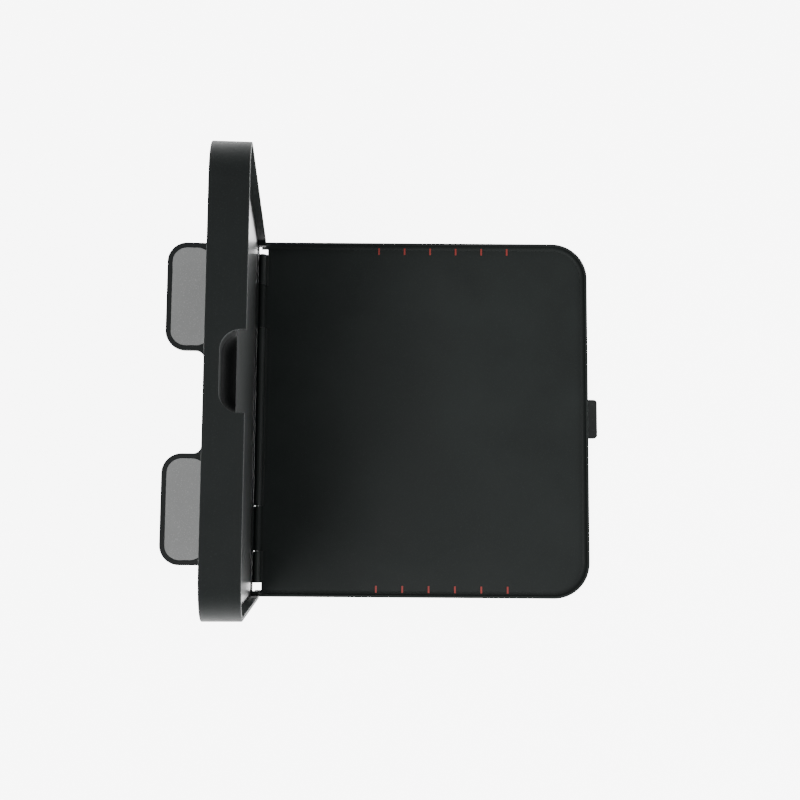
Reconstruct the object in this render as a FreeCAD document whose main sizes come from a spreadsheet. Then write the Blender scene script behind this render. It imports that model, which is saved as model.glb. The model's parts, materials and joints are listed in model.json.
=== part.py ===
import FreeCAD, Part
import Sketcher
import math
import os
import re

# Fold-out wifi node: a slim leaning housing, a fold-down front cover that serves as the foot,
# and a small hinged antenna wing on the back. Millimetres, +Z up, +Y to the rear, +X to the right.
# Every piece is drawn about the cover hinge axis (y = 0, z = 0) and then placed.

V = FreeCAD.Vector
doc = FreeCAD.newDocument("fold_out_node")
sheet = doc.addObject("Spreadsheet::Sheet", "sizes")

SIZES = (
    ("cover_width", "200"),
    ("cover_length", "184.4"),
    ("cover_corner", "20"),
    ("plate_thick", "1.6"),
    ("lip_height", "2.5"),
    ("lip_top", "1.5"),
    ("lip_sweep", "2.3"),
    ("tab_width", "22"),
    ("tab_reach", "5.2"),
    ("pad_height", "0.8"),
    ("mark_first", "66"),
    ("mark_step", "14.6"),
    ("mark_inset", "2.6"),
    ("mark_long", "3.8"),
    ("mark_wide", "1"),
    ("close_gap", "0.3"),
    ("knuckle_gap", "0.2"),
    ("margin_side", "1"),
    ("margin_top", "1.5"),
    ("foot_drop", "4.6"),
    ("chin_drop", "1.6"),
    ("lean", "4.58"),
    ("rim_front", "1.8"),
    ("housing_depth", "17"),
    ("wall", "2"),
    ("seat_step", "0.8"),
    ("beam_front", "2.3"),
    ("toe_front", "1.9"),
    ("toe_top", "3.2"),
    ("panel_front", "2.8"),
    ("panel_thick", "1.6"),
    ("back_thick", "2"),
    ("fit_gap", "0.1"),
    ("notch_width", "34"),
    ("notch_depth", "10.7"),
    ("notch_height", "15"),
    ("notch_corner", "8.5"),
    ("barrel_radius", "2"),
    ("rod_radius", "1"),
    ("bore_radius", "1.05"),
    ("knuckle_mid", "50"),
    ("knuckle_far", "75"),
    ("knuckle_end", "92.2"),
    ("hinge_slot", "3.6"),
    ("lip_back", "1.1"),
    ("wing_level", "67.7"),
    ("wing_half", "81"),
    ("wing_inner", "25.8"),
    ("wing_reach", "44.8"),
    ("wing_web", "5.6"),
    ("wing_thick", "3"),
    ("wing_corner", "10"),
    ("wing_rim", "2.5"),
    ("lug_width", "4"),
    ("board_wide", "150"),
    ("board_tall", "90"),
    ("board_thick", "1.2"),
    ("chip_thick", "1"),
    ("spreader_thick", "1.4"),
    ("socket_level", "30"),
    ("button_level", "52"),
    ("button_radius", "2.5"),
    ("pipe_level", "64"),
    ("boss_inset", "10"),
    ("boss_low", "9"),
    ("boss_clear", "9.2"),
    ("boss_drop", "12"),
    ("top_boss_side", "62"),
    ("boss_radius", "3"),
    ("stand_inset", "6"),
    ("board_edge", "4.5"),
    ("board_under", "13"),
    ("vent_pitch", "10"),
    ("vent_half", "1.1"),
    ("vent_low", "12"),
    ("vent_tall", "16"),
    ("vent_drop", "27.3"),
    ("high_vent_tall", "29.5"),
    ("foil_thick", "0.3"),
    ("foil_drop", "34.7"),
    ("foil_leg", "21.8"),
    ("foil_wide", "6"),
    ("foil_arm", "25"),
    ("foil_bar", "7.4"),
    ("foil_inset", "14.5"),
    ("chip_size", "16"),
    ("memory_wide", "9"),
    ("memory_tall", "13"),
    ("radio_size", "10"),
    ("pad_thick", "0.4"),
    ("can_wide", "32"),
    ("can_tall", "30"),
    ("can_deep", "2.4"),
    ("can_wall", "0.4"),
    ("magnet_radius", "3"),
    ("magnet_thick", "1"),
    ("magnet_drop", "12.4"),
    ("magnet_inset", "30"),
    ("foot_radius", "7"),
    ("foot_inset", "22"),
    ("foot_margin", "24"),
    ("lead_radius", "0.55"),
    ("half_cover", "=cover_width / 2"),
    ("half_out", "=half_cover + margin_side"),
    ("housing_top", "=cover_length + margin_top"),
    ("out_corner", "=cover_corner + margin_side"),
    ("lip_level", "=-(rim_front + close_gap)"),
    ("floor_level", "=lip_level - lip_height"),
    ("tray_low", "=floor_level - plate_thick"),
    ("back_face", "=housing_depth - rim_front"),
    ("half_seat", "=half_out - wall"),
    ("seat_top", "=housing_top - wall"),
    ("seat_low", "=barrel_radius + 0.6"),
    ("panel_back", "=panel_front + panel_thick"),
    ("lid_front", "=back_face - back_thick"),
    ("pivot_back", "=back_face + 2.4"),
    ("wing_root", "=pivot_back + 2.3"),
    ("board_front", "=panel_back + spreader_thick + pad_thick + chip_thick"),
    ("board_back", "=board_front + board_thick"),
    ("board_left", "=half_out - board_edge"),
    ("board_mid", "=board_wide / 2 - board_left"),
    ("board_low", "=socket_level - board_under"),
    ("board_top", "=board_low + board_tall"),
    ("boss_side", "=half_out - boss_inset"),
    ("foil_out", "=half_out - foil_inset"),
    ("magnet_level", "=cover_length - magnet_drop"),
    ("magnet_side", "=half_cover - magnet_inset"),
    ("axis_height", "=pad_height - tray_low"),
)

for row, (alias, text) in enumerate(SIZES, 1):
    sheet.set("A%d" % row, alias.replace("_", " "))
    sheet.set("B%d" % row, text)
    sheet.setAlias("B%d" % row, alias)
doc.recompute()

NAMES = set(alias for alias, text in SIZES)


def ex(text):
    """Point every size name in an expression at the sheet."""
    return re.sub("[a-z_]+", lambda k: "sizes." + k.group(0) if k.group(0) in NAMES else k.group(0), text)


def val(text):
    return float(sheet.evalExpression(ex(text)))


# ---------------------------------------------------------------- drawing helpers
PLANES = {"XY": "XY_Plane", "XZ": "XZ_Plane", "YZ": "YZ_Plane"}


def rect(left, right, low, high, top="", bottom=""):
    """A rectangle; top and bottom give the radius of its upper and lower corners."""
    return [(left, low, bottom), (right, low, bottom), (right, high, top), (left, high, top)]


def circle(across, up, radius):
    return ("circle", across, up, radius)


def pin(sk, geo, pos, across, up):
    """Tie a sketch point to the origin by two driven distances."""
    for kind, text in (("DistanceX", across), ("DistanceY", up)):
        if not text:
            continue
        if abs(val(text)) < 1e-9:
            other = "Vertical" if kind == "DistanceX" else "Horizontal"
            sk.addConstraint(Sketcher.Constraint(other, -1, 1, geo, pos))
        else:
            index = sk.addConstraint(Sketcher.Constraint(kind, -1, 1, geo, pos, val(text)))
            sk.setExpression("Constraints[%d]" % index, ex(text))


def draw_circle(sk, across, up, radius):
    geo = sk.addGeometry(Part.Circle(V(val(across), val(up), 0), V(0, 0, 1), val(radius)))
    pin(sk, geo, 3, across, up)
    index = sk.addConstraint(Sketcher.Constraint("Radius", geo, val(radius)))
    sk.setExpression("Constraints[%d]" % index, ex(radius))


def toward(here, there):
    """Direction of a level or upright edge, as two whole numbers."""
    run = there - here
    return round(run.x / run.Length), round(run.y / run.Length)


def shifted(text, radius, steps):
    return "%s + (%d) * (%s)" % (text, steps, radius) if steps else text


def draw(sk, outline):
    if outline[0] == "circle":
        draw_circle(sk, *outline[1:])
        return
    outline = [tuple(p) + ("",) * (3 - len(p)) for p in outline]
    spots = [V(val(p[0]), val(p[1]), 0) for p in outline]
    count = len(outline)
    arrive, leave, arcs = [], [], []
    for i, (across, up, radius) in enumerate(outline):
        if not radius:
            arrive.append((across, up))
            leave.append((across, up))
            arcs.append(None)
            continue
        back = toward(spots[i], spots[i - 1])
        ahead = toward(spots[i], spots[(i + 1) % count])
        arrive.append((shifted(across, radius, back[0]), shifted(up, radius, back[1])))
        leave.append((shifted(across, radius, ahead[0]), shifted(up, radius, ahead[1])))
        middle = (shifted(across, radius, back[0] + ahead[0]), shifted(up, radius, back[1] + ahead[1]))
        arcs.append((middle, back[0] * ahead[1] - back[1] * ahead[0] < 0, radius))
    lines = []
    for i in range(count):
        a, b = leave[i], arrive[(i + 1) % count]
        lines.append(sk.addGeometry(Part.LineSegment(V(val(a[0]), val(a[1]), 0), V(val(b[0]), val(b[1]), 0))))
        pin(sk, lines[i], 1, *a)
    for i in range(count):
        before, after = lines[i - 1], lines[i]
        if not arcs[i]:
            sk.addConstraint(Sketcher.Constraint("Coincident", before, 2, after, 1))
            continue
        middle, turn_left, radius = arcs[i]
        pin(sk, before, 2, *arrive[i])
        ends = [V(val(p[0]), val(p[1]), 0) for p in (arrive[i], leave[i])]
        centre = V(val(middle[0]), val(middle[1]), 0)
        if not turn_left:
            ends.reverse()
        angles = [math.atan2(e.y - centre.y, e.x - centre.x) for e in ends]
        ring = Part.Circle(centre, V(0, 0, 1), val(radius))
        arc = sk.addGeometry(Part.ArcOfCircle(ring, angles[0], angles[1]))
        sk.addConstraint(Sketcher.Constraint("Coincident", before, 2, arc, 1 if turn_left else 2))
        sk.addConstraint(Sketcher.Constraint("Coincident", after, 1, arc, 2 if turn_left else 1))
        pin(sk, arc, 3, middle[0], "")


def sketch(body, name, plane, start, outlines):
    sk = body.newObject("Sketcher::SketchObject", name)
    origin = [f for f in body.Origin.OriginFeatures if f.Role == PLANES[plane]][0]
    sk.AttachmentSupport = [(origin, "")]
    sk.MapMode = "FlatFace"
    sign = "-1 * (%s) * 1 mm" if plane == "XZ" else "(%s) * 1 mm"
    sk.setExpression("AttachmentOffset.Base.z", sign % ex(start))
    for outline in outlines:
        draw(sk, outline)
    doc.recompute()
    return sk


def new_body(name):
    body = doc.addObject("PartDesign::Body", name)
    body.Label = name
    return body


def grow(body, name, plane, start, length, *outlines):
    """Add material from start, along the plane's positive axis."""
    before = body.Shape.Volume if body.Tip else 0.0
    sk = sketch(body, name + "_line", plane, start, outlines)
    pad = body.newObject("PartDesign::Pad", name)
    pad.Profile = sk
    pad.setExpression("Length", ex(length))
    pad.Reversed = plane == "XZ"
    doc.recompute()
    if not body.Shape.Volume > before:
        raise ValueError("nothing added by " + name)


def sink(body, name, plane, start, length, *outlines):
    """Remove material from start, along the plane's positive axis."""
    before = body.Shape.Volume
    sk = sketch(body, name + "_line", plane, start, outlines)
    cut = body.newObject("PartDesign::Pocket", name)
    cut.Profile = sk
    cut.setExpression("Length", ex(length))
    cut.Reversed = plane != "XZ"
    doc.recompute()
    if not body.Shape.Volume < before:
        raise ValueError("nothing removed by " + name)


def soften(body, name, radius, test):
    """Round the edges of the body that the test picks."""
    base = body.Tip
    picked = ["Edge%d" % (i + 1) for i, e in enumerate(base.Shape.Edges) if test(e)]
    if not picked:
        raise ValueError("no edge for " + name)
    fillet = body.newObject("PartDesign::Fillet", name)
    fillet.Base = (base, picked)
    fillet.setExpression("Radius", ex(radius))
    doc.recompute()
    if not fillet.Shape.isValid():
        raise ValueError("bad rounding " + name)


def along(axis, *spots):
    """A test for straight edges along an axis that pass through the given spots of the other two axes."""
    keep = [i for i in range(3) if i != axis]
    wanted = [(val(a), val(b)) for a, b in spots]

    def test(edge):
        ends = [v.Point for v in edge.Vertexes]
        if len(ends) != 2 or abs((ends[0] - ends[1])[axis]) < edge.Length - 1e-6:
            return False
        here = [ends[0][i] for i in keep]
        return any(abs(here[0] - a) + abs(here[1] - b) < 1e-4 for a, b in wanted)

    return test


def both_sides(across, up):
    return (across, up), ("-(%s)" % across, up)


def loop_at(axis, level, wanted):
    """A test for edges that lie wholly at one level and whose middle is wanted."""
    height = val(level)

    def test(edge):
        box = edge.BoundBox
        low = (box.XMin, box.YMin, box.ZMin)[axis]
        high = (box.XMax, box.YMax, box.ZMax)[axis]
        if abs(low - height) + abs(high - height) > 1e-4:
            return False
        return wanted(edge.valueAt((edge.FirstParameter + edge.LastParameter) / 2))

    return test


HOUSING = FreeCAD.Placement(V(0, val("cover_length / 2"), val("axis_height")),
                            FreeCAD.Rotation(V(1, 0, 0), val("lean")))
COVER = FreeCAD.Placement(V(0, val("cover_length / 2"), val("axis_height")), FreeCAD.Rotation())
finished = []


def finish(part, place):
    part.Placement = place
    finished.append(part)


def block(name, place, plane, start, length, outline, corner=None, spots=()):
    """A flat piece of one outline, with its upright corners rounded."""
    body = new_body(name)
    grow(body, name + "_body", plane, start, length, outline)
    if corner:
        soften(body, name + "_corners", corner, along({"YZ": 0, "XZ": 1, "XY": 2}[plane], *spots))
    finish(body, place)
    return body


def box(name, left, front, low, wide, deep, tall):
    item = doc.addObject("Part::Box", name)
    for prop, text in (("Length", wide), ("Width", deep), ("Height", tall)):
        item.setExpression(prop, ex(text))
    for prop, text in (("x", left), ("y", front), ("z", low)):
        item.setExpression("Placement.Base." + prop, ex(text))
    return item


def disc(name, plane, across, start, up, radius, length):
    """A round bar: plane XZ runs it rearward, plane XY upward. across, up and start follow the plane."""
    item = doc.addObject("Part::Cylinder", name)
    item.setExpression("Radius", ex(radius))
    item.setExpression("Height", ex(length))
    if plane == "XZ":
        item.Placement = FreeCAD.Placement(V(0, 0, 0), FreeCAD.Rotation(V(1, 0, 0), -90))
        spot = (("x", across), ("y", start), ("z", up))
    else:
        spot = (("x", across), ("y", up), ("z", start))
    for prop, text in spot:
        item.setExpression("Placement.Base." + prop, ex(text))
    return item


def group(name, place, items):
    """Identical pieces kept as separate solids under one name."""
    part = doc.addObject("Part::Compound", name)
    part.Label = name
    part.Links = items
    doc.recompute()
    finish(part, place)


# ---------------------------------------------------------------- housing shell
def housing_band():
    body = new_body("housing_band")
    grow(body, "band_block", "XZ", "-rim_front", "housing_depth",
         rect("-half_out", "half_out", "-foot_drop", "housing_top"))
    soften(body, "band_top_corners", "out_corner", along(1, *both_sides("half_out", "housing_top")))
    soften(body, "band_low_corners", "1.5", along(1, *both_sides("half_out", "-foot_drop")))
    sink(body, "toe_cut", "XZ", "-rim_front", "rim_front + toe_front",
         rect("-half_out - 1", "half_out + 1", "-foot_drop - 1", "-chin_drop"))
    room = "half_cover - hinge_slot + close_gap"
    sink(body, "hinge_room", "XZ", "-rim_front", "rim_front + beam_front",
         rect("-(%s)" % room, room, "-toe_top", "seat_low + 1"))
    sink(body, "panel_seat", "XZ", "-rim_front", "rim_front + panel_back",
         rect("-half_seat", "half_seat", "seat_low", "seat_top", "out_corner - wall"))
    sink(body, "cavity", "XZ", "panel_back", "lid_front - panel_back",
         rect("-half_seat + seat_step", "half_seat - seat_step", "seat_low + seat_step", "seat_top - seat_step",
              "out_corner - wall - seat_step"))
    sink(body, "lid_seat", "XZ", "lid_front", "back_thick",
         rect("-half_seat", "half_seat", "seat_low", "seat_top", "out_corner - wall"))
    soften(body, "toe_edge", "rim_front - 0.05", along(0, ("-rim_front", "-chin_drop")))
    sink(body, "finger_notch", "XY", "housing_top - notch_height", "notch_height + 1",
         rect("-notch_width / 2", "notch_width / 2", "-rim_front - 1", "notch_depth - rim_front", "notch_corner"))
    for side, start in (("left", "-knuckle_far + knuckle_gap"), ("right", "knuckle_mid + knuckle_gap")):
        long = "knuckle_far - knuckle_mid - 2 * knuckle_gap"
        grow(body, "barrel_" + side, "YZ", start, long, circle("0", "0", "barrel_radius"))
        grow(body, "arm_" + side, "YZ", start, long,
             rect("0.4", "beam_front + 0.2", "-chin_drop", "barrel_radius * 0.6"))
        sink(body, "bore_" + side, "YZ", start + " - 0.1", long + " + 0.2", circle("0", "0", "bore_radius"))
    reach = "wall + seat_step + 2"
    mid = "board_back + 1.6"
    sink(body, "socket_opening", "YZ", "-half_out - 1", reach,
         rect(mid + " - 1.8", mid + " + 1.8", "socket_level - 4.7", "socket_level + 4.7"))
    soften(body, "socket_corners", "1.6",
           along(0, *[(mid + a, "socket_level" + b) for a in (" - 1.8", " + 1.8") for b in (" - 4.7", " + 4.7")]))
    sink(body, "button_hole", "YZ", "-half_out - 1", reach,
         circle("board_back + 0.6", "button_level", "button_radius + 0.3"))
    sink(body, "pipe_hole", "YZ", "-half_out - 1", reach, circle("board_back + 1.2", "pipe_level", "1.2"))
    soften(body, "back_edge", "0.6", loop_at(1, "back_face", lambda p: abs(p.x) > val("half_seat") + 0.5 or p.z > val("seat_top") + 0.5))
    soften(body, "front_edge", "0.5", loop_at(1, "-rim_front", lambda p: abs(p.x) > val("half_out - 0.1") or p.z > val("housing_top - 0.1") or
           (p.z > val("housing_top - out_corner") and abs(p.x) > val("half_out - out_corner") and
            (abs(p.x) - val("half_out - out_corner")) ** 2 +
            (p.z - val("housing_top - out_corner")) ** 2 > val("out_corner - 0.3") ** 2)))
    finish(body, HOUSING)


def screw_spots():
    rows = (("boss_side", "boss_low"), ("boss_side", "board_top + boss_clear"),
            ("top_boss_side", "housing_top - boss_drop"))
    return [(sign + across, up) for across, up in rows for sign in ("", "-")]


def stand_spots():
    ends = ("-board_left + stand_inset", "board_wide - board_left - stand_inset")
    return [(a, b) for a in ends for b in ("board_low + stand_inset", "board_top - stand_inset")]


def front_panel():
    body = new_body("front_panel")
    grow(body, "panel_plate", "XZ", "panel_front", "panel_thick",
         rect("-half_seat + fit_gap", "half_seat - fit_gap", "seat_low + fit_gap", "seat_top - fit_gap"))
    soften(body, "panel_corners", "out_corner - wall - fit_gap",
           along(1, *both_sides("half_seat - fit_gap", "seat_top - fit_gap")))
    half = "notch_width / 2 + 1.6"
    sink(body, "panel_notch", "XZ", "panel_front", "panel_thick",
         rect("-(%s)" % half, half, "housing_top - notch_height - 1.6", "housing_top"))
    grow(body, "bosses", "XZ", "panel_back - 0.2", "lid_front - panel_back + 0.2 - fit_gap",
         *[circle(a, b, "boss_radius") for a, b in screw_spots()])
    grow(body, "stands", "XZ", "panel_back - 0.2", "board_front - panel_back + 0.2",
         *[circle(a, b, "2.4") for a, b in stand_spots()])
    sink(body, "boss_bores", "XZ", "panel_back + 0.6", "lid_front - panel_back",
         *[circle(a, b, "0.95") for a, b in screw_spots()])
    sink(body, "stand_bores", "XZ", "panel_front + 1", "board_front - panel_front",
         *[circle(a, b, "0.75") for a, b in stand_spots()])
    finish(body, HOUSING)


def rear_cover():
    body = new_body("rear_cover")
    grow(body, "lid_plate", "XZ", "lid_front", "back_thick",
         rect("-half_seat + fit_gap", "half_seat - fit_gap", "seat_low + fit_gap", "seat_top - fit_gap"))
    soften(body, "lid_corners", "out_corner - wall - fit_gap",
           along(1, *both_sides("half_seat - fit_gap", "seat_top - fit_gap")))
    sink(body, "screw_holes", "XZ", "lid_front - 1", "back_thick + 2", *[circle(a, b, "1.3") for a, b in screw_spots()])
    sink(body, "head_recesses", "XZ", "back_face - 1.2", "2", *[circle(a, b, "2.6") for a, b in screw_spots()])
    rows = (("vent_low", "vent_low + vent_tall"),
            ("housing_top - vent_drop - high_vent_tall", "housing_top - vent_drop"))
    sides = [["%d * vent_pitch %s vent_half" % (i, k) for k in "-+"] for i in range(-5, 6)]
    sink(body, "vent_slots", "XZ", "lid_front - 1", "back_thick + 2",
         *[rect(near, far, low, high) for low, high in rows for near, far in sides])
    soften(body, "vent_corners", "vent_half - 0.1",
           along(1, *[(x, z) for side in sides for x in side for row in rows for z in row]))
    for side, start in (("left", "-wing_inner - 4.2 - lug_width"), ("right", "wing_inner + 4.2")):
        grow(body, "lug_foot_" + side, "YZ", start, "lug_width",
             rect("back_face - 0.5", "pivot_back", "wing_level - 2", "wing_level + 2"))
        grow(body, "lug_eye_" + side, "YZ", start, "lug_width", circle("pivot_back", "wing_level", "2"))
        sink(body, "lug_bore_" + side, "YZ", start + " - 0.1", "lug_width + 0.2",
             circle("pivot_back", "wing_level", "bore_radius"))
    finish(body, HOUSING)


def finger_scoop():
    body = new_body("finger_scoop")
    half = "notch_width / 2 + 1.5"
    low = "housing_top - notch_height - 1.5"
    grow(body, "scoop_block", "XY", low, "notch_height + 1.5 - wall - seat_step - fit_gap",
         rect("-(%s)" % half, half, "panel_front", "notch_depth - rim_front + 1.5"))
    sink(body, "scoop_well", "XY", "housing_top - notch_height", "notch_height",
         rect("-notch_width / 2", "notch_width / 2", "panel_front - 1", "notch_depth - rim_front", "notch_corner"))
    floor = loop_at(2, "housing_top - notch_height", lambda p: p.y > val("panel_front") + 0.05)
    soften(body, "scoop_floor", "4", floor)
    finish(body, HOUSING)


# ---------------------------------------------------------------- electronics
def main_board():
    body = new_body("main_board")
    right = "board_wide - board_left"
    grow(body, "board_plate", "XZ", "board_front", "board_thick",
         rect("-board_left", right, "board_low", "board_top"))
    sink(body, "board_holes", "XZ", "board_front - 1", "board_thick + 2",
         *[circle(a, b, "1.1") for a, b in stand_spots()])
    ends = [(a, b) for a in ("-board_left", right) for b in ("board_low", "board_top")]
    soften(body, "board_corners", "2", along(1, *ends))
    finish(body, HOUSING)


def chips():
    deep = "chip_thick"
    front = "board_front - chip_thick"
    column = "board_mid - 28.5"
    block("processor_chip", HOUSING, "XZ", front, deep,
          rect("board_mid - 10.5", "board_mid - 10.5 + chip_size", "board_low + 36", "board_low + 36 + chip_size"))
    group("memory_chips", HOUSING, [
        box("memory_low", column, front, "board_low + 38", "memory_wide", deep, "memory_tall"),
        box("memory_high", column, front, "board_low + 56", "memory_wide", deep, "memory_tall")])
    pad = "panel_back + spreader_thick"
    group("thermal_pads", HOUSING, [
        box("pad_processor", "board_mid - 9.5", pad, "board_low + 37", "chip_size - 2", "pad_thick", "chip_size - 2"),
        box("pad_low", column + " + 0.5", pad, "board_low + 39", "memory_wide - 1", "pad_thick", "memory_tall - 2"),
        box("pad_high", column + " + 0.5", pad, "board_low + 57", "memory_wide - 1", "pad_thick", "memory_tall - 2")])
    left, right, low, high = "board_mid - 42.5", "board_mid + 29.5", "board_low + 14", "board_low + 76"
    block("heat_spreader", HOUSING, "XZ", "panel_back", "spreader_thick", rect(left, right, low, high), "4",
          [(a, b) for a in (left, right) for b in (low, high)])
    group("radio_chips", HOUSING, [
        box("radio_left", "board_mid - 38.5", "board_back", "board_low + 58", "radio_size", deep, "radio_size"),
        box("radio_right", "board_mid + 31.5", "board_back", "board_low + 58", "radio_size", deep, "radio_size")])


def shield_can(name, left):
    body = new_body(name)
    low, high, right = "board_low + 48", "board_low + 48 + can_tall", left + " + can_wide"
    grow(body, name + "_block", "XZ", "board_back", "can_deep", rect(left, right, low, high))
    soften(body, name + "_corners", "1.5", along(1, *[(a, b) for a in (left, right) for b in (low, high)]))
    sink(body, name + "_hollow", "XZ", "board_back", "can_deep - can_wall",
         rect(left + " + can_wall", right + " - can_wall", low + " + can_wall", high + " - can_wall"))
    finish(body, HOUSING)


def antennas():
    back = "lid_front - foil_thick"
    top = "housing_top - foil_drop"
    knee = top + " - foil_bar"
    low = knee + " - foil_leg"
    for name, sign in (("antenna_left", "-"), ("antenna_right", "")):
        out, far, near = (sign + "(foil_out%s)" % k for k in ("", " - foil_wide", " - foil_arm"))
        shape = [(out, low), (out, top), (near, top), (near, knee), (far, knee), (far, low)]
        block(name, HOUSING, "XZ", back, "foil_thick", shape)
    block("antenna_top", HOUSING, "XZ", back, "foil_thick",
          rect("-notch_width", "notch_width", "housing_top - 18", "housing_top - 9"))


def lead(name, spots):
    """A thin round wire of straight runs with ball bends."""
    items = []
    for i, (a, b, c) in enumerate(spots):
        ball = doc.addObject("Part::Sphere", "%s_ball_%d" % (name, i))
        ball.setExpression("Radius", ex("lead_radius * 1 mm"))
        for prop, text in (("x", a), ("y", b), ("z", c)):
            ball.setExpression("Placement.Base." + prop, ex(text))
        items.append(ball)
    for i in range(len(spots) - 1):
        start = V(*[val(k) for k in spots[i]])
        run = V(*[val(k) for k in spots[i + 1]]) - start
        bar = doc.addObject("Part::Cylinder", "%s_run_%d" % (name, i))
        bar.setExpression("Radius", ex("lead_radius * 1 mm"))
        bar.Height = run.Length
        bar.Placement = FreeCAD.Placement(start, FreeCAD.Rotation(V(0, 0, 1), run))
        items.append(bar)
    joined = doc.addObject("Part::MultiFuse", name)
    joined.Label = name
    joined.Shapes = items
    doc.recompute()
    finish(joined, HOUSING)


def leads():
    left, right, up = "-board_left + 18", "board_wide - board_left - 18", "board_top - 10"
    group("lead_connectors", HOUSING, [
        disc("connector_left", "XZ", left, "board_back", up, "1.3", "1.2"),
        disc("connector_right", "XZ", right, "board_back", up, "1.3", "1.2")])
    near, far = "board_back + 1.2 + lead_radius", "lid_front - foil_thick - lead_radius"
    tip = "housing_top - foil_drop - foil_bar - foil_leg + 3"
    end = "(foil_out - foil_wide / 2)"
    lead("antenna_lead_left", [(left, near, up), (left + " - 2", far, "board_top + 6"), ("-" + end, far, tip)])
    lead("antenna_lead_right", [(right, near, up), (right + " + 24", far, "board_top + 6"), (end, far, tip)])


def power_socket():
    body = new_body("power_socket")
    front, back = "board_back", "board_back + 3.2"
    low, high = "socket_level - 4.45", "socket_level + 4.45"
    grow(body, "socket_block", "YZ", "-half_out + 0.3", "7.3", rect(front, back, low, high))
    soften(body, "socket_block_corners", "1.4", along(0, *[(a, b) for a in (front, back) for b in (low, high)]))
    sink(body, "socket_mouth", "YZ", "-half_out + 0.3", "6.5",
         rect(front + " + 0.3", back + " - 0.3", low + " + 0.3", high + " - 0.3", "1.1", "1.1"))
    finish(body, HOUSING)
    mid = "board_back + 1.6"
    block("socket_tongue", HOUSING, "YZ", "-half_out + 1.2", "5.6",
          rect(mid + " - 0.35", mid + " + 0.35", "socket_level - 3.3", "socket_level + 3.3"))


def pairing_button():
    body = new_body("pairing_button")
    mid = ("board_back + 0.6", "button_level")
    grow(body, "button_stem", "YZ", "-half_out - 0.6", "wall + seat_step + 1.2", circle(mid[0], mid[1], "button_radius"))
    grow(body, "button_flange", "YZ", "-half_out + wall + seat_step + 0.2", "0.6", circle(mid[0], mid[1], "3.5"))
    soften(body, "button_edge", "0.5", loop_at(0, "-half_out - 0.6", lambda p: True))
    finish(body, HOUSING)


def switch_and_light():
    body = new_body("pairing_switch")
    grow(body, "switch_block", "YZ", "-board_left + 0.1", "3.5",
         rect("board_back", "board_back + 2.4", "button_level - 2.2", "button_level + 2.2"))
    grow(body, "switch_plunger", "YZ", "-board_left - 0.3", "0.8", circle("board_back + 1.1", "button_level", "0.8"))
    finish(body, HOUSING)
    block("status_led", HOUSING, "YZ", "-board_left + 0.6", "1.6",
          rect("board_back", "board_back + 1.9", "pipe_level - 1.2", "pipe_level + 1.2"))
    block("light_pipe", HOUSING, "YZ", "-half_out + 0.1", "board_edge + 0.3",
          circle("board_back + 1.2", "pipe_level", "1.1"))


def screw(name, across, up, back, head_radius, head_tall, shank_radius, shank_long):
    head = disc(name + "_head", "XZ", across, back + " - " + head_tall, up, head_radius, head_tall)
    start = "%s - %s - %s" % (back, head_tall, shank_long)
    shank = disc(name + "_shank", "XZ", across, start, up, shank_radius, shank_long)
    whole = doc.addObject("Part::Fuse", name + "_whole")
    whole.Base, whole.Tool = head, shank
    key = doc.addObject("Part::Prism", name + "_key")
    key.Polygon = 6
    key.Circumradius = 0.8
    key.Height = 1
    key.Placement = FreeCAD.Placement(V(0, 0, 0), FreeCAD.Rotation(V(1, 0, 0), -90))
    for prop, text in (("x", across), ("y", back + " - 0.5"), ("z", up)):
        key.setExpression("Placement.Base." + prop, ex(text))
    result = doc.addObject("Part::Cut", name)
    result.Base, result.Tool = whole, key
    return result


def fixings():
    group("lid_screws", HOUSING, [
        screw("lid_screw_%d" % i, a, b, "(back_face - 0.1)", "2.4", "1", "0.9", "7")
        for i, (a, b) in enumerate(screw_spots())])
    group("board_screws", HOUSING, [
        screw("board_screw_%d" % i, a, b, "(board_back + 0.9)", "2", "0.9", "0.7", "4")
        for i, (a, b) in enumerate(stand_spots())])
    block("hinge_rod", HOUSING, "YZ", "-knuckle_end + 0.4", "2 * knuckle_end - 0.8", circle("0", "0", "rod_radius"))
    block("wing_pin", HOUSING, "YZ", "-wing_inner - 4.1 - lug_width", "2 * (wing_inner + 4.1 + lug_width)",
          circle("pivot_back", "wing_level", "rod_radius"))
    group("housing_magnets", HOUSING, [
        disc("housing_magnet_" + k, "XZ", s + "magnet_side", "panel_back", "magnet_level", "magnet_radius", "2")
        for k, s in (("left", "-"), ("right", ""))])


# ---------------------------------------------------------------- fold-down cover
def mark_rects(sign, trim):
    near = "%s(half_cover - mark_inset - %s)" % (sign, trim)
    far = "%s(half_cover - mark_inset - mark_long + %s)" % (sign, trim)
    rows = []
    for i in range(6):
        mid = "-(mark_first + %d * mark_step)" % i
        rows.append(rect(far, near, "%s - mark_wide / 2 + %s" % (mid, trim), "%s + mark_wide / 2 - %s" % (mid, trim)))
    return rows


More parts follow.
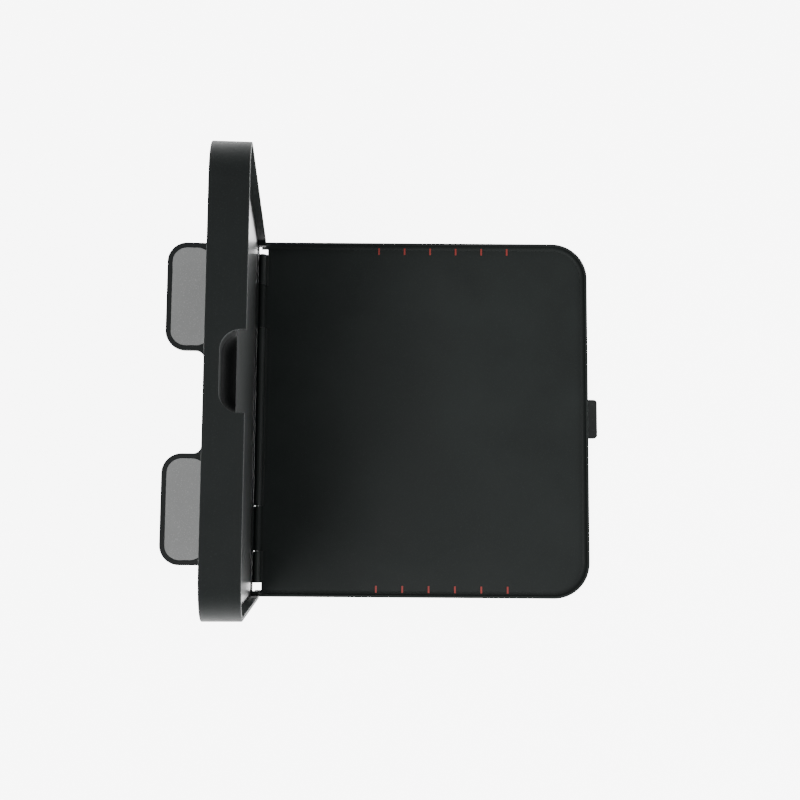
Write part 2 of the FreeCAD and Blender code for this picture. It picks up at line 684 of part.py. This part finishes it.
def cover_tray():
    body = new_body("cover_tray")
    grow(body, "tray_block", "XY", "tray_low", "plate_thick + lip_height",
         rect("-half_cover", "half_cover", "-cover_length", "lip_back"))
    soften(body, "tray_corners", "cover_corner", along(2, *both_sides("half_cover", "-cover_length")))
    side = "half_cover - lip_top"
    sink(body, "tray_dish", "XY", "floor_level", "lip_height",
         rect("-(%s)" % side, side, "-cover_length + lip_top", "lip_back + 1", "", "cover_corner - lip_top"))
    floor = loop_at(2, "floor_level", lambda p: abs(p.x) > val("half_cover") * 0.8 or p.y < val("-cover_length * 0.9"))
    soften(body, "dish_sweep", "lip_sweep", floor)
    sink(body, "end_slots", "XY", "tray_low - 1", "plate_thick + lip_height + 2",
         *[rect(near, far, "-barrel_radius - 0.4", "lip_back + 1")
           for near, far in (("knuckle_end", "half_cover - hinge_slot"), ("-half_cover + hinge_slot", "-knuckle_end"))])
    spans = (("left", "-knuckle_end", "knuckle_end - knuckle_far"), ("middle", "-knuckle_mid", "2 * knuckle_mid"),
             ("right", "knuckle_far", "knuckle_end - knuckle_far"))
    for name, start, long in spans:
        grow(body, "knuckle_" + name, "YZ", start, long, circle("0", "0", "barrel_radius"))
        grow(body, "riser_" + name, "YZ", start, long,
             rect("-barrel_radius - 0.8", "-barrel_radius * 0.25", "tray_low", "-0.2"))
        sink(body, "eye_" + name, "YZ", start + " - 0.1", long + " + 0.2", circle("0", "0", "bore_radius"))
    sink(body, "mark_slots", "XY", "floor_level - 0.4", "lip_height + 1", *(mark_rects("", "0") + mark_rects("-", "0")))
    sink(body, "tab_slot", "XZ", "-cover_length", "1.3",
         rect("-tab_width * 0.36", "tab_width * 0.36", "tray_low + 0.6", "tray_low + 2.2"))
    sink(body, "magnet_holes", "XY", "tray_low", "magnet_thick + 0.05",
         *[circle(sign + "magnet_side", "-magnet_level", "magnet_radius + 0.05") for sign in ("", "-")])
    rim = loop_at(2, "lip_level", lambda p: abs(p.x) > val("half_cover - 0.2") or p.y < val("-cover_length + 0.2")
                  or (p.y < val("-cover_length + cover_corner") and
                      (abs(p.x) - val("half_cover - cover_corner")) ** 2 +
                      (p.y - val("-cover_length + cover_corner")) ** 2 > val("cover_corner - 0.3") ** 2))
    soften(body, "lip_edge", "0.5", rim)
    finish(body, COVER)


def pull_tab():
    body = new_body("pull_tab")
    half = "tab_width / 2"
    grow(body, "tab_block", "XY", "tray_low + 0.1", "2.6",
         rect("-(%s)" % half, half, "-cover_length - tab_reach", "-cover_length - 0.02"))
    soften(body, "tab_corners", "2", along(2, *both_sides(half, "-cover_length - tab_reach")))
    soften(body, "tab_rim", "0.6", loop_at(2, "tray_low + 2.7", lambda p: p.y < val("-cover_length - 0.1")))
    grow(body, "tab_tongue", "XZ", "-cover_length - 0.3", "1.5",
         rect("-tab_width * 0.35", "tab_width * 0.35", "tray_low + 0.7", "tray_low + 2.1"))
    finish(body, COVER)


def marks(name, sign):
    items = []
    for i in range(6):
        low = "-(mark_first + %d * mark_step) - mark_wide / 2 + 0.03" % i
        if sign:
            left = "-(half_cover - mark_inset) + 0.03"
        else:
            left = "half_cover - mark_inset - mark_long + 0.03"
        items.append(box("%s_%d" % (name, i), left, low, "floor_level - 0.4", "mark_long - 0.06", "mark_wide - 0.06", "0.7"))
    group(name, COVER, items)


def cover_details():
    marks("index_marks_left", "-")
    marks("index_marks_right", "")
    spots = [(a, b) for a in ("-(half_cover - foot_inset)", "half_cover - foot_inset")
             for b in ("-foot_margin", "-cover_length + foot_margin")]
    spots.append(("0", "-cover_length / 2"))
    group("cover_pads", COVER, [
        disc("cover_pad_%d" % i, "XY", a, "tray_low - pad_height", b, "foot_radius", "pad_height")
        for i, (a, b) in enumerate(spots)])
    group("cover_magnets", COVER, [
        disc("cover_magnet_" + k, "XY", s + "magnet_side", "tray_low", "-magnet_level", "magnet_radius", "magnet_thick")
        for k, s in (("left", "-"), ("right", ""))])


# ---------------------------------------------------------------- rear wing
def lobe(sign, inset):
    """Inner outline of one lobe, moved in from its rim by a distance."""
    near = "wing_inner + wing_rim + " + inset
    far = "wing_half - wing_rim - " + inset
    if sign:
        near, far = "-(%s)" % far, "-(%s)" % near
    corner = "wing_corner - wing_rim - " + inset
    return rect(near, far, "wing_root + wing_rim + " + inset, "wing_reach - wing_rim - " + inset, corner, corner)


def wing_frame():
    body = new_body("wing_frame")
    web = "wing_root + wing_web"
    outline = [("-wing_half", "wing_root"), ("wing_half", "wing_root"), ("wing_half", "wing_reach"),
               ("wing_inner", "wing_reach"), ("wing_inner", web), ("-wing_inner", web),
               ("-wing_inner", "wing_reach"), ("-wing_half", "wing_reach")]
    grow(body, "wing_plate", "XY", "wing_level - wing_thick / 2", "wing_thick", outline)
    tips = both_sides("wing_half", "wing_reach") + both_sides("wing_inner", "wing_reach")
    soften(body, "wing_tips", "wing_corner", along(2, *tips))
    soften(body, "wing_crotch", "4", along(2, *both_sides("wing_inner", web)))
    soften(body, "wing_shoulders", "2", along(2, *both_sides("wing_half", "wing_root")))
    for side, sign in (("left", "-"), ("right", "")):
        sink(body, "window_" + side, "XY", "wing_level - wing_thick", "2 * wing_thick", lobe(sign, "1"))
        sink(body, "panel_ledge_" + side, "XY", "wing_level + wing_thick / 2 - 1", "2", lobe(sign, "0"))
        sink(body, "lid_ledge_" + side, "XY", "wing_level - wing_thick / 2 - 1", "1.8", lobe(sign, "0"))
    grow(body, "wing_barrel", "YZ", "-wing_inner - 3.9", "2 * wing_inner + 7.8",
         circle("pivot_back", "wing_level", "2"))
    grow(body, "wing_tongue", "YZ", "-wing_inner - 3.9", "2 * wing_inner + 7.8",
         rect("pivot_back + 0.4", "wing_root + 0.3", "wing_level - wing_thick / 2", "wing_level + wing_thick / 2"))
    sink(body, "wing_bore", "YZ", "-wing_inner - 5", "2 * wing_inner + 10",
         circle("pivot_back", "wing_level", "bore_radius"))
    finish(body, HOUSING)


def wing_details():
    for side, sign in (("left", "-"), ("right", "")):
        edge = lobe(sign, "fit_gap")
        block("wing_panel_" + side, HOUSING, "XY", "wing_level + wing_thick / 2 - 1", "0.8", edge)
        block("wing_lid_" + side, HOUSING, "XY", "wing_level - wing_thick / 2", "0.8", edge)
        block("wing_antenna_" + side, HOUSING, "XY", "wing_level - wing_thick / 2 + 0.8", "0.3", lobe(sign, "4"))


housing_band()
front_panel()
rear_cover()
finger_scoop()
main_board()
chips()
shield_can("shield_can_left", "board_mid - 48.5")
shield_can("shield_can_right", "board_mid + 21.5")
antennas()
leads()
power_socket()
pairing_button()
switch_and_light()
fixings()
cover_tray()
pull_tab()
cover_details()
wing_frame()
wing_details()

doc.recompute()
for item in doc.Objects:
    if "Invalid" in item.State or "Error" in item.State:
        raise ValueError("bad state " + item.Name)
os.makedirs("parts", exist_ok=True)
for part in finished:
    if part.Shape.isNull() or not part.Shape.isValid() or not part.Shape.Solids:
        raise ValueError("bad shape " + part.Label)
    part.Shape.exportStep("parts/" + part.Label + ".step")
print("pieces", len(finished))
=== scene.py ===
import json
import math

import bpy
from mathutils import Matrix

# A fold-out wifi node on a pale floor, seen from above: +X along the hinge, +Y to the rear, +Z up, metres.
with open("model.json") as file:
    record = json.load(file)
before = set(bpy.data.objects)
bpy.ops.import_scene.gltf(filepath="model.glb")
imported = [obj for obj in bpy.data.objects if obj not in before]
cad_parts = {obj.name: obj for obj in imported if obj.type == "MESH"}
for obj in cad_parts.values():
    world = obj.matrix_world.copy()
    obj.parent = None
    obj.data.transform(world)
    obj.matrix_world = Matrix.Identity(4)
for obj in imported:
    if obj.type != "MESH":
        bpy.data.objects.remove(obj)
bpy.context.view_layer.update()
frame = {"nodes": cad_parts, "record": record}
nodes = frame["nodes"]

# Noise scales are in waves per metre, bump heights and edge widths in metres.
MIDDLE_NOISE = (0.3, 0.7)
FLECK_RAMP = 0.06
FLECK_STRENGTH = 0.7
BEVEL_SAMPLES = 6
EDGE_TURN = (0.86, 0.995)
EDGE_BREAKS = (0.35, 0.65)
EDGE_LEAST = 0.15
EDGE_NOISE = 260.0
WAVE_SCALE = 14.0
WAVE_DEPTH = 0.0004
WORN_DARK = (0.05, 0.052, 0.052)
BRUSH_STRETCH = (60.0, 1800.0, 1800.0)
BRUSH_ANISOTROPY = 0.4

FLOOR_HALF = 3.0
FLOOR_DROP = 0.0002
FLOOR_GLOW = 7.0
AIM_HEIGHT = 0.05
WORLD_COLOUR = (0.9, 0.95, 1.0, 1.0)
WORLD_STRENGTH = 0.18
LENS_LENGTH = 52.54
SENSOR_WIDTH = 36.0
CAMERA_SPOT = (-0.06398, 0.01309, 0.65699)
CAMERA_TURN = (6.4574, -0.0035, -89.578)


# ---------------------------------------------------------------- surface building
class Surface:
    """A procedural material: wandering colour, grain, gloss variation and worn edges."""

    def __init__(self, name, base, rough, metal=0.0, specular=0.5):
        self.mat = bpy.data.materials.new(name)
        self.mat.use_nodes = True
        self.tree = self.mat.node_tree
        self.shader = self.tree.nodes["Principled BSDF"]
        self.shader.inputs["Metallic"].default_value = metal
        self.shader.inputs["Specular IOR Level"].default_value = specular
        self.place = self.add("ShaderNodeTexCoord").outputs["Object"]
        self.base = base
        self.colour = base
        self.rough = rough

    def add(self, kind):
        return self.tree.nodes.new(kind)

    def link(self, source, target):
        self.tree.links.new(source, target)

    def stretched(self, across):
        """Object coordinates scaled on each axis, for brushed or moulded grain."""
        mapping = self.add("ShaderNodeMapping")
        mapping.inputs["Scale"].default_value = across
        self.link(self.place, mapping.inputs["Vector"])
        return mapping.outputs["Vector"]

    def noise(self, scale, detail=4.0, rough=0.55, where=None):
        tex = self.add("ShaderNodeTexNoise")
        tex.inputs["Scale"].default_value = scale
        tex.inputs["Detail"].default_value = detail
        tex.inputs["Roughness"].default_value = rough
        self.link(where or self.place, tex.inputs["Vector"])
        return tex.outputs["Fac"]

    def remap(self, value, low, high, start=MIDDLE_NOISE[0], end=MIDDLE_NOISE[1]):
        node = self.add("ShaderNodeMapRange")
        node.inputs["From Min"].default_value = start
        node.inputs["From Max"].default_value = end
        node.inputs["To Min"].default_value = low
        node.inputs["To Max"].default_value = high
        self.link(value, node.inputs["Value"])
        return node.outputs["Result"]

    def product(self, one, two):
        node = self.add("ShaderNodeMath")
        node.operation = "MULTIPLY"
        for socket, value in zip(node.inputs, (one, two)):
            if isinstance(value, float):
                socket.default_value = value
            else:
                self.link(value, socket)
        return node.outputs["Value"]

    def mixed(self, amount, one, two):
        node = self.add("ShaderNodeMix")
        node.data_type = "RGBA"
        self.link(amount, node.inputs["Factor"])
        for socket, value in ((node.inputs[6], one), (node.inputs[7], two)):
            if isinstance(value, tuple):
                socket.default_value = (*value, 1.0)
            else:
                self.link(value, socket)
        return node.outputs[2]

    def tinted(self, factor):
        return tuple(min(1.0, channel * factor) for channel in self.base)

    def wander(self, scale=22.0, spread=0.16):
        """Slow drift of the colour over the piece."""
        amount = self.remap(self.noise(scale, 3.0), 0.0, 1.0)
        self.colour = self.mixed(amount, self.tinted(1.0 - spread), self.tinted(1.0 + spread))

    def flecks(self, scale, threshold, factor):
        """Small lighter or darker points."""
        amount = self.remap(self.noise(scale, 2.0, 0.5), 0.0, 1.0, threshold, threshold + FLECK_RAMP)
        self.colour = self.mixed(self.product(amount, FLECK_STRENGTH), self.colour, self.tinted(factor))

    def worn_edges(self, radius, tint, strength):
        """Edges rubbed lighter, broken up by noise."""
        bevel = self.add("ShaderNodeBevel")
        bevel.samples = BEVEL_SAMPLES
        bevel.inputs["Radius"].default_value = radius
        flat = self.add("ShaderNodeNewGeometry")
        dot = self.add("ShaderNodeVectorMath")
        dot.operation = "DOT_PRODUCT"
        self.link(bevel.outputs["Normal"], dot.inputs[0])
        self.link(flat.outputs["Normal"], dot.inputs[1])
        edge = self.remap(dot.outputs["Value"], 1.0, 0.0, *EDGE_TURN)
        broken = self.remap(self.noise(EDGE_NOISE, 5.0, 0.65), EDGE_LEAST, 1.0, *EDGE_BREAKS)
        self.colour = self.mixed(self.product(self.product(edge, broken), strength), self.colour, tint)

    def finish(self, gloss_spread, gloss_scale, bumps=(), where=None):
        """Joins the colour, the varied gloss and the stacked bumps to the shader."""
        self.link(self.colour, self.shader.inputs["Base Color"])
        dull = self.noise(gloss_scale, 5.0, 0.6, where)
        gloss = self.remap(dull, self.rough - gloss_spread, self.rough + gloss_spread)
        self.link(gloss, self.shader.inputs["Roughness"])
        last = None
        for height, strength, distance in bumps:
            bump = self.add("ShaderNodeBump")
            bump.inputs["Strength"].default_value = strength
            bump.inputs["Distance"].default_value = distance
            self.link(height, bump.inputs["Height"])
            if last:
                self.link(last, bump.inputs["Normal"])
            last = bump.outputs["Normal"]
        if last:
            self.link(last, self.shader.inputs["Normal"])
        return self.mat


def plastic(name, base, rough, specular, wear, grain=1500.0, depth=0.00003, spread=0.14, waviness=0.12,
            gloss_spread=0.06):
    """Moulded plastic: fine spark-eroded grain over a slow waviness."""
    surface = Surface(name, base, rough, 0.0, specular)
    surface.wander(spread=spread)
    surface.flecks(grain * 1.3, 0.6, 1.5)
    surface.worn_edges(0.0004, wear, 0.5)
    grain_height = surface.noise(grain, 3.0, 0.6)
    wave = surface.noise(WAVE_SCALE, 2.0, 0.5)
    bumps = ((wave, waviness, WAVE_DEPTH), (grain_height, 0.35, depth))
    return surface.finish(gloss_spread, 45.0, bumps)


def rubber(name, base, rough, specular):
    """Soft rubber: coarse grain with pale rubbed edges."""
    surface = Surface(name, base, rough, 0.0, specular)
    surface.wander(40.0, 0.2)
    surface.flecks(900.0, 0.62, 1.9)
    surface.worn_edges(0.0003, surface.tinted(2.2), 0.45)
    grain = surface.noise(700.0, 5.0, 0.7)
    return surface.finish(0.06, 80.0, ((grain, 0.5, 0.00005),))


def metal(name, base, rough):
    """Metal with a brushed or rolled grain and dull patches."""
    surface = Surface(name, base, rough, 1.0, 0.5)
    surface.wander(35.0, 0.1)
    lay = surface.stretched(BRUSH_STRETCH)
    streaks = surface.remap(surface.noise(1.0, 5.0, 0.7, lay), 0.0, 1.0)
    surface.colour = surface.mixed(surface.product(streaks, 0.35), surface.colour, surface.tinted(0.7))
    surface.worn_edges(0.0003, surface.tinted(1.25), 0.6)
    surface.shader.inputs["Anisotropic"].default_value = BRUSH_ANISOTROPY
    grooves = surface.noise(1.0, 4.0, 0.7, lay)
    return surface.finish(0.09, 1.0, ((grooves, 0.25, 0.00002),), lay)


def circuit_board():
    """Green mask over a raster of lighter lanes."""
    surface = Surface("board_mask", (0.012, 0.085, 0.035), 0.32, 0.0, 0.5)
    surface.wander(30.0, 0.2)
    lanes = surface.add("ShaderNodeTexBrick")
    lanes.inputs["Scale"].default_value = 210.0
    lanes.inputs["Mortar Size"].default_value = 0.12
    lanes.inputs["Brick Width"].default_value = 1.7
    lanes.inputs["Row Height"].default_value = 0.34
    upright = surface.stretched((1.0, 1.0, 1.0))
    upright.node.inputs["Rotation"].default_value = (math.radians(90), 0, 0)
    surface.link(upright, lanes.inputs["Vector"])
    gaps = lanes.outputs["Fac"]
    surface.colour = surface.mixed(surface.product(gaps, 0.6), surface.colour, (0.05, 0.2, 0.09))
    surface.worn_edges(0.0003, (0.25, 0.27, 0.15), 0.6)
    return surface.finish(0.06, 60.0, ((gaps, 0.3, 0.00003), (surface.noise(500.0), 0.15, 0.00002)))


def clear_plastic(name, base, rough):
    """Frosted plastic that lets some light through."""
    surface = Surface(name, base, rough, 0.0, 0.5)
    surface.wander(60.0, 0.06)
    surface.flecks(1200.0, 0.62, 0.8)
    surface.worn_edges(0.0002, surface.tinted(1.15), 0.5)
    surface.shader.inputs["Transmission Weight"].default_value = 0.35
    surface.shader.inputs["IOR"].default_value = 1.49
    return surface.finish(0.05, 90.0, ((surface.noise(800.0), 0.2, 0.00002),))


# One finish for each material slot of the record.
FINISHES = {
    "shell": plastic("shell", (0.0128, 0.0148, 0.0144), 0.58, 0.08, WORN_DARK),
    "panel": plastic("panel", (0.009, 0.01, 0.01), 0.33, 0.3, WORN_DARK, 2200.0, 0.000003,
                     waviness=0.01, gloss_spread=0.012),
    "back": plastic("back", (0.014, 0.016, 0.016), 0.55, 0.35, WORN_DARK, 1300.0, 0.00004),
    # The scoop lining is about a third as bright as the shell around it: painted shade inside the finger
    # notch's recess.
    "scoop": plastic("scoop", (0.0045, 0.005, 0.005), 0.55, 0.05, WORN_DARK),
    "tray": plastic("tray", (0.0175, 0.0205, 0.0195), 0.55, 0.15, WORN_DARK, 1700.0, 0.00002),
    "wing_shell": plastic("wing_shell", (0.013, 0.015, 0.0148), 0.55, 0.12, WORN_DARK),
    "wing_lid": plastic("wing_lid", (0.014, 0.016, 0.016), 0.55, 0.3, WORN_DARK),
    "radome": plastic("radome", (0.23, 0.232, 0.23), 0.5, 0.35, (0.42, 0.42, 0.41), 1500.0, 0.00002, 0.07),
    "mark": plastic("mark", (0.3, 0.035, 0.03), 0.5, 0.3, (0.4, 0.1, 0.08), 2500.0, 0.00001),
    "button": plastic("button", (0.02, 0.023, 0.023), 0.42, 0.4, (0.07, 0.07, 0.07)),
    "switch": plastic("switch", (0.03, 0.03, 0.03), 0.5, 0.4, (0.1, 0.1, 0.1)),
    "chip": plastic("chip", (0.014, 0.014, 0.016), 0.55, 0.4, (0.08, 0.08, 0.08), 3000.0, 0.00001),
    "tongue": plastic("tongue", (0.02, 0.02, 0.02), 0.5, 0.4, (0.07, 0.07, 0.07)),
    "tab": rubber("tab", (0.017, 0.0185, 0.018), 0.65, 0.15),
    "pad_foot": rubber("pad_foot", (0.015, 0.015, 0.015), 0.75, 0.3),
    "pad": rubber("pad", (0.4, 0.45, 0.5), 0.7, 0.3),
    "lead": rubber("lead", (0.02, 0.02, 0.02), 0.55, 0.4),
    "board": circuit_board(),
    "spreader": metal("spreader", (0.72, 0.73, 0.75), 0.34),
    "can": metal("can", (0.6, 0.6, 0.6), 0.3),
    "foil": metal("foil", (0.75, 0.42, 0.2), 0.3),
    "gold": metal("gold", (0.85, 0.6, 0.22), 0.25),
    "socket_metal": metal("socket_metal", (0.55, 0.56, 0.58), 0.28),
    "steel": metal("steel", (0.5, 0.5, 0.51), 0.3),
    "black_steel": metal("black_steel", (0.035, 0.035, 0.036), 0.42),
    "magnet": metal("magnet", (0.66, 0.65, 0.62), 0.2),
    "led": clear_plastic("led", (0.8, 0.8, 0.72), 0.2),
    "pipe": clear_plastic("pipe", (0.7, 0.74, 0.78), 0.35),
}

for entry in frame["record"]["subparts"]:
    piece = nodes[entry["node"]]
    piece.data.materials.clear()
    piece.data.materials.append(FINISHES[entry["material_slot"]])


# ---------------------------------------------------------------- floor
def make_floor():
    """A pale glowing sheet just under the foot pads."""
    mesh = bpy.data.meshes.new("floor")
    signs = ((-1, -1), (1, -1), (1, 1), (-1, 1))
    corners = [(x * FLOOR_HALF, y * FLOOR_HALF, 0) for x, y in signs]
    mesh.from_pydata(corners, [], [(0, 1, 2, 3)])
    floor = bpy.data.objects.new("floor", mesh)
    bpy.context.scene.collection.objects.link(floor)
    floor.location.z = -FLOOR_DROP
    surface = Surface("floor_paper", (0.9, 0.9, 0.9), 0.7, 0.0, 0.2)
    surface.wander(3.0, 0.01)
    mat = surface.finish(0.05, 30.0)
    surface.shader.inputs["Emission Color"].default_value = (1, 1, 1, 1)
    surface.shader.inputs["Emission Strength"].default_value = FLOOR_GLOW
    mesh.materials.append(mat)


make_floor()


# ---------------------------------------------------------------- light and camera
def softbox(name, spot, watts, wide, tall):
    """An area light that faces a point a little above the origin."""
    light = bpy.data.lights.new(name, "AREA")
    light.shape = "RECTANGLE"
    light.size, light.size_y = wide, tall
    light.energy = watts
    lamp = bpy.data.objects.new(name, light)
    lamp.location = spot
    aim = lamp.location.copy()
    aim.z -= AIM_HEIGHT
    lamp.rotation_euler = aim.to_track_quat("Z", "Y").to_euler()
    bpy.context.scene.collection.objects.link(lamp)


softbox("key", (-0.25, 0.42, 1.3), 14.5, 0.75, 0.6)
softbox("fill", (-0.35, -1.0, 0.7), 10.0, 0.9, 0.6)
softbox("side", (1.1, 0.0, 0.5), 2.5, 0.8, 0.4)

world = bpy.data.worlds.new("studio")
world.use_nodes = True
sky = world.node_tree.nodes["Background"]
sky.inputs["Color"].default_value = WORLD_COLOUR
sky.inputs["Strength"].default_value = WORLD_STRENGTH
bpy.context.scene.world = world

lens = bpy.data.cameras.new("camera")
lens.lens = LENS_LENGTH
lens.sensor_width = SENSOR_WIDTH
camera = bpy.data.objects.new("camera", lens)
camera.location = CAMERA_SPOT
camera.rotation_euler = [math.radians(angle) for angle in CAMERA_TURN]
bpy.context.scene.collection.objects.link(camera)
bpy.context.scene.camera = camera
